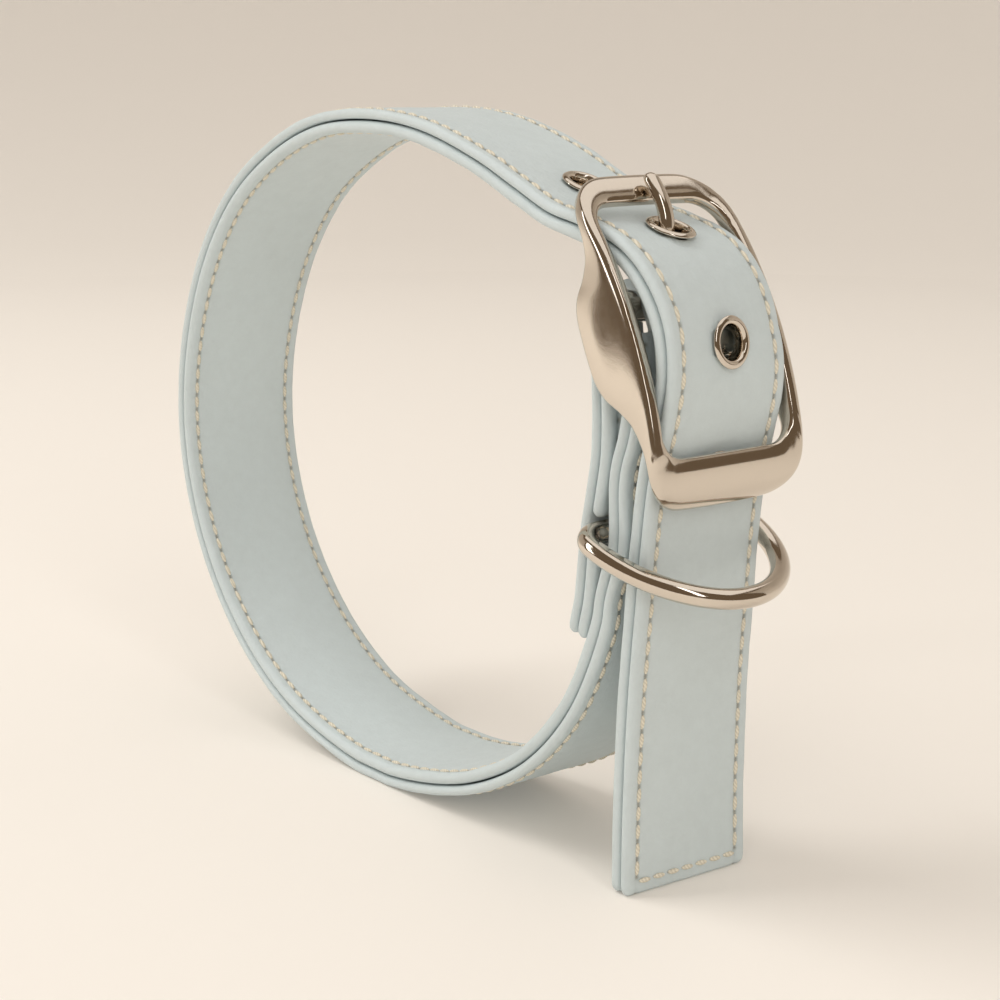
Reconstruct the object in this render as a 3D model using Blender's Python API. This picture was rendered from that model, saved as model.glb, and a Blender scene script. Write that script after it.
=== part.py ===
"""Dog collar: two leather layers with turned edges, a cast buckle with a centre bar, a prong, a leash ring
and eyelets. It stands on the bottom of its loop and on the end of its free strap, with its width along Y."""

import math
from collections import namedtuple

import bmesh
import bpy
from mathutils import Vector

MM = 0.001

# Leather, in millimetres.
STRAP_WIDTH = 25.0
LEATHER = 1.7
LINING = 2.0
AIR = 0.3
SLACK = 0.4
PAIR = LEATHER + AIR + LINING + SLACK
CORNER_ROUND = 1.6

# The loop around the neck.
LOOP_REACH = 60.0
SEAM_REST = LEATHER + 0.5 * AIR
LOOP_LOW_SHARE = 0.947
LOOP_SETTLE = 0.17
LOOP_CENTRE_UP = LOOP_LOW_SHARE * LOOP_REACH + SEAM_REST - LOOP_SETTLE

# Centre bar of the buckle, which the strap folds round.
BAR_RADIUS = 2.3
BAR_OUT = 1.03 * LOOP_REACH
BAR_UP = 1.505 * LOOP_REACH
TONGUE_WIDTH = 0.6 * STRAP_WIDTH
SLOT_WIDTH = 5.2
SHOULDER_UP = 1.445 * LOOP_REACH
LINING_TOP_UP = 1.408 * LOOP_REACH

# Buckle frame.
WINDOW_CLEARANCE = 0.7
RAIL_WIDTH = 2.6
RAIL_HALF_DEPTH = 1.35
WING_FLARE = 1.1
TOP_TAPER = 0.97
WINDOW_LOW_UP = 1.165 * LOOP_REACH
WINDOW_HIGH_UP = 1.752 * LOOP_REACH
FRAME_LOW_UP = 1.037 * LOOP_REACH
FRAME_HIGH_UP = 1.815 * LOOP_REACH
WINDOW_LOW_CORNER = 4.0
WINDOW_HIGH_CORNER = 5.0
FRAME_LOW_CORNER = 7.0
FRAME_HIGH_CORNER = 9.0
FRAME_LOW_BOW = 0.9

# Prong.
PRONG_WIDTH = 2.9
PRONG_THICK = 2.1

# Leash ring.
RING_WIRE = 1.72
RING_OUT_SHARE = -0.341
RING_UP = 0.943 * LOOP_REACH
RING_HALF_WIDTH = 0.5 * STRAP_WIDTH + 3.7
RING_DEPTH = 18.5
RING_CORNER = 3.6
RING_DROP = 21.0

# Eyelets.
EYELET_PITCH = 20.2
EYELET_REACH = 4.15
EYELET_THROAT = 2.4
EYELET_TUBE = 2.75
EYELET_CROWN = 0.75
EYELET_SEAT = 0.15
PRONG_EYELET_UP = 1.672 * LOOP_REACH

# Finish of each material: colour, roughness, metallic.
LEATHER_LOOK = ((0.62, 0.68, 0.67, 1.0), 0.45, 0.0)
LINING_LOOK = ((0.58, 0.64, 0.62, 1.0), 0.5, 0.0)
NICKEL_LOOK = ((0.78, 0.74, 0.70, 1.0), 0.12, 1.0)

# Seam line between the two layers along the near edge. "out" counts layer pairs outward from the centre bar,
# "up" is a share of the loop's reach above the floor, and "lean" is how far the far edge turns inward, in
# radians.
Knot = namedtuple("Knot", "out up lean")
FREE_STRAP = (
    Knot(1.023, 0.000, -0.045),
    Knot(1.068, 0.260, -0.020),
    Knot(1.250, 0.533, 0.000),
    Knot(1.568, 0.783, 0.020),
    Knot(1.773, 0.930, 0.030),
    Knot(2.068, 1.090, 0.035),
    Knot(2.364, 1.177, 0.035),
    Knot(2.715, 1.275, 0.040),
    Knot(2.909, 1.363, 0.065),
    Knot(2.795, 1.455, 0.100),
    Knot(2.409, 1.525, 0.090),
    Knot(1.705, 1.592, 0.070),
    Knot(0.727, 1.648, 0.055),
    Knot(-0.409, 1.682, 0.050),
    Knot(-1.659, 1.705, 0.045),
)
RISE_TO_BAR = (
    Knot(0.000, 0.770, 0.0),
    Knot(0.295, 0.837, 0.0),
    Knot(0.636, 0.900, 0.0),
    Knot(0.693, 0.955, 0.0),
    Knot(0.670, 1.017, 0.0),
    Knot(0.659, 1.067, 0.0),
    Knot(0.773, 1.123, 0.0),
    Knot(1.080, 1.188, 0.015),
    Knot(1.290, 1.255, 0.030),
    Knot(1.310, 1.330, 0.020),
    Knot(1.091, 1.413, 0.0),
)
FOLD_BACK = (
    Knot(-0.432, 1.408, 0.0),
    Knot(-0.295, 1.283, 0.0),
    Knot(-0.273, 1.183, 0.0),
    Knot(-0.318, 1.130, 0.0),
    Knot(-0.432, 1.083, 0.0),
    Knot(-0.568, 1.033, 0.0),
    Knot(-0.773, 0.962, 0.0),
    Knot(-0.932, 0.875, 0.0),
    Knot(-1.023, 0.808, 0.0),
    Knot(-1.136, 0.750, 0.0),
    Knot(-1.310, 0.700, 0.0),
    Knot(-1.450, 0.653, 0.0),
)

# The loop from the buckle over the top, down, and back up: direction in degrees and reach as a share.
Reach = namedtuple("Reach", "direction share lean")
LOOP_SHAPE = (
    Reach(43.3, 1.098, 0.042),
    Reach(50.4, 1.047, 0.038),
    Reach(60, 1.008, 0.027),
    Reach(75, 0.977, 0.012),
    Reach(90, 0.966, 0.0),
    Reach(105, 0.977, 0.0),
    Reach(120, 0.990, 0.0),
    Reach(135, 1.013, 0.0),
    Reach(150, 1.028, 0.0),
    Reach(165, 1.040, 0.0),
    Reach(180, 1.052, 0.0),
    Reach(195, 1.045, 0.0),
    Reach(210, 1.025, 0.0),
    Reach(225, 1.000, 0.0),
    Reach(240, 0.975, 0.0),
    Reach(255, 0.950, 0.0),
    Reach(270, LOOP_LOW_SHARE, 0.0),
    Reach(285, 0.952, 0.0),
    Reach(300, 0.980, 0.0),
    Reach(315, 1.015, 0.0),
    Reach(330, 1.041, 0.0),
    Reach(345, 1.054, 0.0),
)

# Middle depth of the buckle frame seen from the side, from its lower end to its upper end.
Place = namedtuple("Place", "out up")
FRAME_PROFILE = (
    Place(2.682, 1.024),
    Place(3.071, 1.080),
    Place(3.091, 1.143),
    Place(2.947, 1.203),
    Place(2.752, 1.265),
    Place(2.532, 1.321),
    Place(2.254, 1.380),
    Place(1.931, 1.438),
    Place(1.564, 1.494),
    Place(1.154, 1.548),
    Place(0.702, 1.601),
    Place(0.210, 1.652),
    Place(-0.321, 1.700),
    Place(-0.889, 1.747),
    Place(-1.494, 1.792),
    Place(-2.110, 1.833),
)

# Wings of the two rails: how far they reach inward at each height, as a share of the rail's half depth.
Wing = namedtuple("Wing", "up depth")
WINGS = (
    Wing(1.00, 0.80),
    Wing(1.16, 0.80),
    Wing(1.21, 1.50),
    Wing(1.265, 2.70),
    Wing(1.29, 3.60),
    Wing(1.315, 5.20),
    Wing(1.34, 6.25),
    Wing(1.39, 7.05),
    Wing(1.47, 7.25),
    Wing(1.54, 7.00),
    Wing(1.582, 6.50),
    Wing(1.605, 5.70),
    Wing(1.627, 3.90),
    Wing(1.648, 2.60),
    Wing(1.67, 1.90),
    Wing(1.70, 1.20),
    Wing(1.74, 1.00),
    Wing(1.90, 1.00),
)

# Prong above its hook: steps from the middle of its eyelet, then from the middle of the frame's top bar. Both
# columns count layer pairs, along the strap or the frame and outward from it.
Step = namedtuple("Step", "along out")
PRONG_IN_EYELET = (
    Step(0.00, -0.70),
    Step(0.06, 0.10),
    Step(0.18, 0.52),
    Step(0.42, 0.93),
)
PRONG_ON_FRAME = (
    Step(-0.45, 0.03),
    Step(0.18, 0.00),
)


def clear_scene():
    for old in list(bpy.data.objects):
        bpy.data.objects.remove(old, do_unlink=True)


def material(name, look):
    colour, roughness, metallic = look
    made = bpy.data.materials.new(name)
    made.use_nodes = True
    made.diffuse_color = colour
    shader = made.node_tree.nodes["Principled BSDF"]
    shader.inputs["Base Color"].default_value = colour
    shader.inputs["Roughness"].default_value = roughness
    shader.inputs["Metallic"].default_value = metallic
    return made


def beside_bar(place):
    """Point of the side view given in layer pairs from the bar and shares of the loop's reach."""
    return Vector((BAR_OUT + place.out * PAIR, 0.0, place.up * LOOP_REACH))


def through(points, pieces):
    """Smooth curve through the points, with rounder bends where they lie close together."""
    before = 2 * points[0] - points[1]
    after = 2 * points[-1] - points[-2]
    posts = [before, *points, after]
    line = []
    for i in range(1, len(posts) - 2):
        a, b, c, d = posts[i - 1 : i + 3]
        ab = math.sqrt((b - a).length)
        bc = math.sqrt((c - b).length)
        cd = math.sqrt((d - c).length)
        leave = (c - b) + bc * ((b - a) / ab - (c - a) / (ab + bc))
        arrive = (c - b) + bc * ((d - c) / cd - (d - b) / (bc + cd))
        for k in range(pieces):
            t = k / pieces
            line.append(
                b * (2 * t**3 - 3 * t**2 + 1)
                + leave * (t**3 - 2 * t**2 + t)
                + c * (3 * t**2 - 2 * t**3)
                + arrive * (t**3 - t**2)
            )
    line.append(points[-1])
    return line


Station = namedtuple("Station", "spot along outward across")


class Line:
    """A curve in the XZ plane that can be read at any distance along it."""

    def __init__(self, points, leans=None):
        self.points = points
        self.leans = leans or [0.0] * len(points)
        self.reach = [0.0]
        for a, b in zip(points, points[1:]):
            self.reach.append(self.reach[-1] + (b - a).length)
        self.length = self.reach[-1]
        self.stops = self.marks(0.0, self.length, math.radians(9.0), 9.0)

    def keep_straight(self, low, high):
        """Section stops at both ends of a straight stretch, with none between them."""
        clear = 1.0
        outside = [d for d in self.stops if d < low - clear or d > high + clear]
        self.stops = sorted([*outside, low, high])

    def slot_of(self, distance):
        low = 0
        high = len(self.reach) - 2
        while low < high:
            middle = (low + high + 1) // 2
            if self.reach[middle] <= distance:
                low = middle
            else:
                high = middle - 1
        span = self.reach[low + 1] - self.reach[low]
        return low, (distance - self.reach[low]) / span

    def spot(self, distance):
        i, share = self.slot_of(distance)
        return self.points[i].lerp(self.points[i + 1], share)

    def at(self, distance):
        i, share = self.slot_of(distance)
        step = 0.4
        low = max(distance - step, 0.0)
        high = min(distance + step, self.length)
        along = (self.spot(high) - self.spot(low)).normalized()
        flat = Vector((along.z, 0.0, -along.x))
        lean = self.leans[i] + (self.leans[i + 1] - self.leans[i]) * share
        side = Vector((0.0, 1.0, 0.0))
        outward = flat * math.cos(lean) + side * math.sin(lean)
        across = side * math.cos(lean) - flat * math.sin(lean)
        middle = self.spot(distance) - flat * (0.5 * STRAP_WIDTH * math.sin(lean))
        return Station(middle, along, outward, across)

    def distance_at_height(self, height, low, high):
        """Distance between two marks at which the curve crosses a height."""
        climbs = self.spot(high).z > self.spot(low).z
        for _ in range(40):
            middle = 0.5 * (low + high)
            if (self.spot(middle).z < height) == climbs:
                low = middle
            else:
                high = middle
        return 0.5 * (low + high)

    def marks(self, low, high, turn, longest):
        """Distances from low to high, closer together where the curve bends."""
        kept = [low]
        step = 0.5
        count = max(int((high - low) / step), 2)
        last = self.at(low).along
        for k in range(1, count):
            here = low + (high - low) * k / count
            along = self.at(here).along
            if along.angle(last) > turn or here - kept[-1] > longest:
                kept.append(here)
                last = along
        if high - kept[-1] < step and len(kept) > 1:
            kept.pop()
        kept.append(high)
        return kept


def strap_line():
    """Seam line of the whole strap, and the distances where the loop ends and the bar's crest lies."""
    knots = [(beside_bar(k), k.lean) for k in FREE_STRAP]
    for row in LOOP_SHAPE:
        angle = math.radians(row.direction)
        out = row.share * LOOP_REACH * math.cos(angle)
        up = LOOP_CENTRE_UP + row.share * LOOP_REACH * math.sin(angle)
        knots.append((Vector((out, 0.0, up)), row.lean))
    loop_end = len(knots)
    knots += [(beside_bar(k), k.lean) for k in RISE_TO_BAR]
    turn = BAR_RADIUS + 0.5 * AIR
    crest = len(knots) + 2
    for degrees in (5, 50, 95, 140, 180):
        angle = math.radians(degrees)
        out = BAR_OUT + turn * math.cos(angle)
        knots.append((Vector((out, 0.0, BAR_UP + turn * math.sin(angle))), 0.0))
    knots += [(beside_bar(k), k.lean) for k in FOLD_BACK]
    pieces = 10
    points = through([spot for spot, _ in knots], pieces)
    leans = []
    for (_, here), (_, ahead) in zip(knots, knots[1:]):
        leans += [here + (ahead - here) * k / pieces for k in range(pieces)]
    leans.append(knots[-1][1])
    for spot in points:
        spot.z = max(spot.z, 0.0)
    first = len(FREE_STRAP) * pieces
    foot = [k for k in range(first, loop_end * pieces) if points[k].z < SEAM_REST]
    for k in foot:
        points[k].z = SEAM_REST
    line = Line(points, leans)
    line.keep_straight(line.reach[foot[0]], line.reach[foot[-1]])
    return line, line.reach[first], line.reach[loop_end * pieces], line.reach[crest * pieces]


def ring_mesh(bm, rings, closed):
    """Skin rings of equal size, with end caps unless the rings form a loop."""
    made = [[bm.verts.new(p * MM) for p in ring] for ring in rings]
    pairs = list(zip(made, made[1:]))
    if closed:
        pairs.append((made[-1], made[0]))
    for a, b in pairs:
        for k in range(len(a)):
            n = (k + 1) % len(a)
            bm.faces.new((a[k], a[n], b[n], b[k]))
    if not closed:
        bm.faces.new(list(reversed(made[0])))
        bm.faces.new(made[-1])


def finish(name, bm, look, smooth=True):
    bmesh.ops.recalc_face_normals(bm, faces=bm.faces)
    if bm.calc_volume(signed=True) < 0:
        bmesh.ops.reverse_faces(bm, faces=bm.faces)
    mesh = bpy.data.meshes.new(name)
    bm.to_mesh(mesh)
    bm.free()
    for face in mesh.polygons:
        face.use_smooth = smooth
    made = bpy.data.objects.new(name, mesh)
    bpy.context.scene.collection.objects.link(made)
    if look:
        mesh.materials.append(look)
    return made


def as_cutter(made):
    made.hide_render = True
    made.display_type = "WIRE"
    return made


def boolean(target, other, operation):
    step = target.modifiers.new(other.name, "BOOLEAN")
    step.operation = operation
    step.solver = "EXACT"
    step.object = other


def layer_section(half_width, half_thick):
    """Outline across one layer with turned, rounded edges, as (across, outward) pairs."""
    flat = half_width - half_thick
    diagonal = half_thick * math.sqrt(0.5)
    right = [
        (flat, -half_thick),
        (flat + diagonal, -diagonal),
        (half_width, 0.0),
        (flat + diagonal, diagonal),
        (flat, half_thick),
    ]
    left = [(-across, -outward) for across, outward in right]
    return right + left


def layer(name, line, start, end, middle, thick, look, narrow=None, rounded=(True, True)):
    """One leather layer along the seam line, its middle set off from the seam by a signed distance."""
    half = 0.5 * thick
    round_marks = [0.0, 0.25 * CORNER_ROUND, CORNER_ROUND]
    inner = [m for m in line.stops if start + 1.3 * CORNER_ROUND < m < end - 1.3 * CORNER_ROUND]
    marks = [start + d for d in round_marks] + inner + [end - d for d in reversed(round_marks)]
    if narrow:
        width, low, high = narrow
        edge = 0.2
        marks = [m for m in marks if min(abs(m - low), abs(m - high)) > 3 * edge]
        marks = sorted([*marks, low - edge, low, high, high + edge])
    rings = []
    for mark in marks:
        station = line.at(mark)
        half_width = 0.5 * STRAP_WIDTH
        if narrow and low <= mark <= high:
            half_width = 0.5 * width
        squeeze = 1.0
        for near, wanted in ((mark - start, rounded[0]), (end - mark, rounded[1])):
            if wanted and near < CORNER_ROUND:
                share = 1 - near / CORNER_ROUND
                bow = 1 - math.sqrt(1 - share * share)
                half_width -= 0.8 * CORNER_ROUND * bow
                squeeze = 1 - 0.45 * bow
        centre = station.spot + station.outward * middle
        rings.append(
            [
                centre + station.across * a + station.outward * o
                for a, o in layer_section(half_width, half * squeeze)
            ]
        )
    bm = bmesh.new()
    ring_mesh(bm, rings, closed=False)
    bmesh.ops.triangulate(bm, faces=list(bm.faces))
    return finish(name, bm, look)


def box_cutter(name, low, high):
    bm = bmesh.new()
    corners = [
        Vector((x, y, z))
        for z in (low.z, high.z)
        for x, y in ((low.x, low.y), (high.x, low.y), (high.x, high.y), (low.x, high.y))
    ]
    ring_mesh(bm, [corners[:4], corners[4:]], closed=False)
    return as_cutter(finish(name, bm, None, smooth=False))


def turned(name, station, profile, look, sides=24):
    """Solid of revolution about a station's outward direction, from (radius, outward) pairs."""
    rings = []
    for k in range(sides):
        angle = math.tau * k / sides
        arm = station.along * math.cos(angle) + station.across * math.sin(angle)
        rings.append([station.spot + arm * r + station.outward * o for r, o in profile])
    bm = bmesh.new()
    ring_mesh(bm, rings, closed=True)
    return finish(name, bm, look)


def eyelet_seats():
    """Levels of the collar's underside and of the washer's upper side, outward from the seam."""
    return LEATHER + 0.5 * AIR + EYELET_SEAT, -(LINING + 0.5 * AIR + EYELET_SEAT)


def eyelet_cutter(name, station):
    """Hole for the tube, wider above the collar's seat and below the washer's."""
    face, back = eyelet_seats()
    hole = EYELET_TUBE + AIR
    seat = EYELET_REACH + AIR
    steps = (
        (seat, -PAIR),
        (seat, back + AIR),
        (hole, back + AIR),
        (hole, face - AIR),
        (seat, face - AIR),
        (seat, PAIR),
    )
    rings = []
    for radius, outward in steps:
        ring = []
        for k in range(24):
            angle = math.tau * k / 24
            arm = station.along * math.cos(angle) + station.across * math.sin(angle)
            ring.append(station.spot + arm * radius + station.outward * outward)
        rings.append(ring)
    bm = bmesh.new()
    ring_mesh(bm, rings, closed=False)
    return as_cutter(finish(name, bm, None, smooth=False))


def eyelet(name, station, look):
    """Domed collar on the outer face, a tube through both layers and a flat washer on the lining."""
    face, back = eyelet_seats()
    crown = face + EYELET_CROWN
    foot = back - 0.6 * EYELET_CROWN
    ridge = 0.5 * (EYELET_REACH + EYELET_THROAT)
    profile = (
        (EYELET_THROAT, 0.4 * face),
        (EYELET_THROAT + 0.25 * (ridge - EYELET_THROAT), crown - 0.35 * EYELET_CROWN),
        (ridge, crown),
        (EYELET_REACH - 0.2 * (EYELET_REACH - ridge), crown - 0.35 * EYELET_CROWN),
        (EYELET_REACH, face),
        (EYELET_TUBE, face),
        (EYELET_TUBE, back),
        (EYELET_REACH, back),
        (EYELET_REACH - 0.3 * EYELET_CROWN, foot),
        (EYELET_THROAT, foot),
    )
    return turned(name, station, profile, look)


def frame_outline(half_width, low, high, low_corner, high_corner):
    """Rounded rectangle of (across, distance) pairs, counter-clockwise from the middle of the low side."""
    sides = 5
    rail = 18
    bend = 6
    points = []
    corners = (
        (half_width - low_corner, low + low_corner, -90, low_corner),
        (half_width - high_corner, high - high_corner, 0, high_corner),
        (high_corner - half_width, high - high_corner, 90, high_corner),
        (low_corner - half_width, low + low_corner, 180, low_corner),
    )
    counts = (rail, sides, rail, sides)
    for row, count, ahead in zip(corners, counts, (*corners[1:], corners[0])):
        across, along, start, corner = row
        for k in range(bend + 1):
            angle = math.radians(start + 90 * k / bend)
            points.append((across + corner * math.cos(angle), along + corner * math.sin(angle)))
        turn = math.radians(start + 90)
        next_point = (
            ahead[0] + ahead[3] * math.cos(turn),
            ahead[1] + ahead[3] * math.sin(turn),
        )
        last = points[-1]
        for k in range(1, count):
            share = k / count
            points.append(
                (
                    last[0] + (next_point[0] - last[0]) * share,
                    last[1] + (next_point[1] - last[1]) * share,
                )
            )
    return points


def read_table(rows, key, value, at):
    """Value of a table's column at a key, straight between its rows."""
    for a, b in zip(rows, rows[1:]):
        low = getattr(a, key)
        high = getattr(b, key)
        if at <= high or b is rows[-1]:
            share = min(max((at - low) / (high - low), 0.0), 1.0)
            return getattr(a, value) * (1 - share) + getattr(b, value) * share
    return getattr(rows[-1], value)


def frame_line():
    return Line(through([beside_bar(p) for p in FRAME_PROFILE], 8))


def buckle(look):
    profile = frame_line()

    def distance(up):
        return profile.distance_at_height(up, 0.0, profile.length)

    half_window = 0.5 * STRAP_WIDTH + WINDOW_CLEARANCE
    half_frame = half_window + RAIL_WIDTH
    low, high = distance(WINDOW_LOW_UP), distance(WINDOW_HIGH_UP)
    inner = frame_outline(half_window, low, high, WINDOW_LOW_CORNER, WINDOW_HIGH_CORNER)
    low, high = distance(FRAME_LOW_UP), distance(FRAME_HIGH_UP)
    outer = []
    for y, s in frame_outline(half_frame, low, high, FRAME_LOW_CORNER, FRAME_HIGH_CORNER):
        nearness = max(1 - (s - low) / FRAME_LOW_CORNER, 0.0)
        outer.append((y, s - FRAME_LOW_BOW * nearness * (1 - (y / half_frame) ** 2)))
    rings = []
    round_steps = 12
    for (in_y, in_s), (out_y, out_s) in zip(inner, outer):
        ring = []
        for k in range(round_steps):
            angle = math.tau * (k + 0.5) / round_steps
            c, s = math.cos(angle), math.sin(angle)
            wide = math.copysign(abs(c) ** 0.7, c)
            deep = math.copysign(abs(s) ** 0.7, s)
            share = 0.5 + 0.5 * wide
            station = profile.at(in_s + (out_s - in_s) * share)
            depth = RAIL_HALF_DEPTH * deep
            if deep < 0:
                up = station.spot.z / LOOP_REACH
                depth *= read_table(WINGS, "up", "depth", up)
            elif station.spot.z < WINDOW_LOW_UP:
                depth *= 0.75
            spot = station.spot + station.outward * depth
            flare = WING_FLARE * max(-depth / RAIL_HALF_DEPTH - 1.0, 0.0) / (WINGS[8].depth - 1.0)
            y = in_y + (out_y - in_y) * share
            y += math.copysign(flare, y) * min(abs(y) / half_window, 1.0)
            rise = (station.spot.z - FRAME_LOW_UP) / (FRAME_HIGH_UP - FRAME_LOW_UP)
            y *= 1 - (1 - TOP_TAPER) * max(rise, 0.0)
            ring.append(Vector((spot.x, y, spot.z)))
        rings.append(ring)
    bm = bmesh.new()
    ring_mesh(bm, rings, closed=True)
    frame = finish("buckle", bm, look)
    rings = []
    end = half_window + 0.3 * RAIL_WIDTH
    for y in (-end, end):
        ring = []
        for k in range(20):
            angle = math.tau * k / 20
            out = BAR_OUT + BAR_RADIUS * math.cos(angle)
            ring.append(Vector((out, y, BAR_UP + BAR_RADIUS * math.sin(angle))))
        rings.append(ring)
    bm = bmesh.new()
    ring_mesh(bm, rings, closed=False)
    bar = as_cutter(finish("centre_bar_tool", bm, look))
    boolean(frame, bar, "UNION")
    return frame


def prong(look, eyelet_station):
    """A hook round the centre bar and a shank that rises through the eyelet onto the top of the frame."""
    turn = BAR_RADIUS + AIR + 0.5 * PRONG_THICK
    points = []
    for degrees in range(20, -201, -20):
        angle = math.radians(degrees)
        out = BAR_OUT + turn * math.cos(angle)
        points.append(Vector((out, 0.0, BAR_UP + turn * math.sin(angle))))
    for step in PRONG_IN_EYELET:
        points.append(
            eyelet_station.spot
            + eyelet_station.along * step.along * PAIR
            + eyelet_station.outward * step.out * PAIR
        )
    profile = frame_line()
    middle = 0.5 * (WINDOW_HIGH_UP + FRAME_HIGH_UP)
    bar = profile.at(profile.distance_at_height(middle, 0.0, profile.length))
    lift = RAIL_HALF_DEPTH + AIR + 0.5 * PRONG_THICK
    for step in PRONG_ON_FRAME:
        points.append(bar.spot + bar.along * step.along * PAIR + bar.outward * (lift + step.out * PAIR))
    for spot in points:
        spot.y = 0.0
    line = Line(through(points, 4))
    rings = []
    tip = 1.2
    marks = line.marks(0.0, line.length - tip, math.radians(14.0), 4.0)
    marks += [line.length - 0.45 * tip, line.length - 0.1 * tip]
    for mark in marks:
        station = line.at(mark)
        left = line.length - mark
        shrink = min(1.0, math.sqrt(max(1 - (1 - min(left / tip, 1.0)) ** 2, 0.25)))
        ring = []
        for k in range(10):
            angle = math.tau * k / 10
            across = 0.5 * PRONG_WIDTH * math.cos(angle) * shrink
            thick = 0.5 * PRONG_THICK * math.sin(angle) * shrink
            ring.append(station.spot + station.across * across + station.outward * thick)
        rings.append(ring)
    bm = bmesh.new()
    ring_mesh(bm, rings, closed=False)
    return finish("prong", bm, look)


def leash_ring(look):
    """D-shaped wire ring, built flat with its straight side on the object's own Y axis."""
    inner_half = RING_HALF_WIDTH - 1.17 * RING_CORNER
    line = []
    for k in range(5):
        line.append((0.0, -inner_half + 2 * inner_half * k / 5))
    for k in range(6):
        angle = math.radians(-90 + 90 * k / 6)
        line.append(
            (
                RING_CORNER + RING_CORNER * math.sin(angle),
                inner_half + 1.17 * RING_CORNER * math.cos(angle),
            )
        )
    for k in range(24):
        angle = math.pi * k / 24
        line.append(
            (
                RING_CORNER + RING_DEPTH * math.sin(angle),
                RING_HALF_WIDTH * math.cos(angle),
            )
        )
    for k in range(6):
        angle = math.radians(90 * k / 6)
        line.append(
            (
                RING_CORNER - RING_CORNER * math.sin(angle),
                -inner_half - 1.17 * RING_CORNER * math.cos(angle),
            )
        )
    rings = []
    for i, (x, y) in enumerate(line):
        before = line[i - 1]
        after = line[(i + 1) % len(line)]
        along = Vector((after[0] - before[0], after[1] - before[1], 0.0)).normalized()
        outward = Vector((along.y, -along.x, 0.0))
        ring = []
        for k in range(10):
            angle = math.tau * (k + 0.5) / 10
            ring.append(
                Vector((x, y, 0.0))
                + outward * RING_WIRE * math.cos(angle)
                + Vector((0.0, 0.0, RING_WIRE * math.sin(angle)))
            )
        rings.append(ring)
    bm = bmesh.new()
    ring_mesh(bm, rings, closed=True)
    made = finish("d_ring", bm, look)
    made.location = Vector((BAR_OUT + RING_OUT_SHARE * PAIR, 0.0, RING_UP)) * MM
    made.rotation_euler = (0.0, math.radians(RING_DROP), 0.0)
    return made


def stand_on_origin():
    """Move everything so that the origin lies under the middle of the collar, at its lowest height."""
    bpy.context.view_layer.update()
    graph = bpy.context.evaluated_depsgraph_get()
    spots = []
    for made in bpy.data.objects:
        if not made.hide_render:
            solid = made.evaluated_get(graph)
            spots += [solid.matrix_world @ v.co for v in solid.data.vertices]
    low = Vector((min(p.x for p in spots), min(p.y for p in spots), min(p.z for p in spots)))
    high = Vector((max(p.x for p in spots), max(p.y for p in spots), low.z))
    for made in bpy.data.objects:
        made.location -= 0.5 * (low + high)


def main():
    clear_scene()
    leather_look = material("leather", LEATHER_LOOK)
    lining_look = material("lining", LINING_LOOK)
    nickel_look = material("nickel", NICKEL_LOOK)
    line, loop_start, loop_end, crest = strap_line()
    outer_middle = 0.5 * (LEATHER + AIR)
    lining_middle = -0.5 * (LINING + AIR)

    shoulder_up = line.distance_at_height(SHOULDER_UP, loop_end, crest)
    shoulder_down = line.distance_at_height(SHOULDER_UP, crest, line.length)
    outer = layer(
        "leather_outer",
        line,
        0.0,
        line.length,
        outer_middle,
        LEATHER,
        leather_look,
        narrow=(TONGUE_WIDTH, shoulder_up, shoulder_down),
    )
    rise_top = line.distance_at_height(LINING_TOP_UP, loop_end, crest)
    lining = layer("leather_lining", line, 0.0, rise_top, lining_middle, LINING, lining_look)
    ring_room = RING_WIRE + 2 * AIR
    back_top = line.distance_at_height(LINING_TOP_UP, crest, line.length)
    above_ring = line.distance_at_height(RING_UP + ring_room, crest, line.length)
    below_ring = line.distance_at_height(RING_UP - ring_room, crest, line.length)
    layer("fold_lining_upper", line, back_top, above_ring, lining_middle, LINING, lining_look)
    layer("fold_lining_lower", line, below_ring, line.length, lining_middle, LINING, lining_look)

    slot_half = 0.5 * SLOT_WIDTH
    slot_reach = BAR_RADIUS + LEATHER + 3 * AIR
    slot = box_cutter(
        "slot_tool",
        Vector((BAR_OUT - slot_reach, -slot_half, LINING_TOP_UP + 2 * AIR)),
        Vector((BAR_OUT + 1.2 * slot_reach, slot_half, BAR_UP + slot_reach)),
    )
    boolean(outer, slot, "DIFFERENCE")

    held = line.distance_at_height(PRONG_EYELET_UP, crest * 0.1, loop_start)
    for number in range(4):
        station = line.at(held + EYELET_PITCH * (1 - number))
        cutter = eyelet_cutter(f"eyelet_tool_{number + 1}", station)
        boolean(outer, cutter, "DIFFERENCE")
        boolean(lining, cutter, "DIFFERENCE")
        eyelet(f"eyelet_{number + 1}", station, nickel_look)

    buckle(nickel_look)
    prong(nickel_look, line.at(held))
    leash_ring(nickel_look)
    stand_on_origin()


main()
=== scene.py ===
"""Looks of the dog collar: stitched ice-blue leather, polished nickel fittings and a pale studio."""

import math
from collections import namedtuple

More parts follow.
